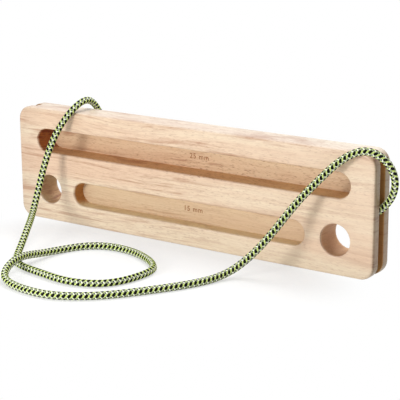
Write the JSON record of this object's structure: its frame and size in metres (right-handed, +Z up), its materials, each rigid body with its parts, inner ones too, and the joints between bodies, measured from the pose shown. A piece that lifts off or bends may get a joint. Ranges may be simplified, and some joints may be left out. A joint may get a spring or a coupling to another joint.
{
  "type": "hangboard",
  "caption": "Portable wooden climbing hangboard with two finger slots, two through holes and grooved ends, threaded on a closed loop of braided cord that lies in loose curls.",
  "frame": {"origin": "centre of the board's bottom face", "axes": "+X along the board to the right end seen from the front, -Y out of the front face that the finger slots open through, +Z up"},
  "size_m": [0.4436, 0.2705, 0.1295],
  "materials": {
    "wood": "sanded and oiled, fine lengthwise grain, satin",
    "cord": "braided cover in yellow-green, black and pale grey strands"
  },
  "bodies": {
    "root": {"board": "wood", "cord_inner_run": "cord", "cord_front_loop": "cord", "cord_rear_return": "cord", "cord_knot": "cord"}
  },
  "joints": []
}
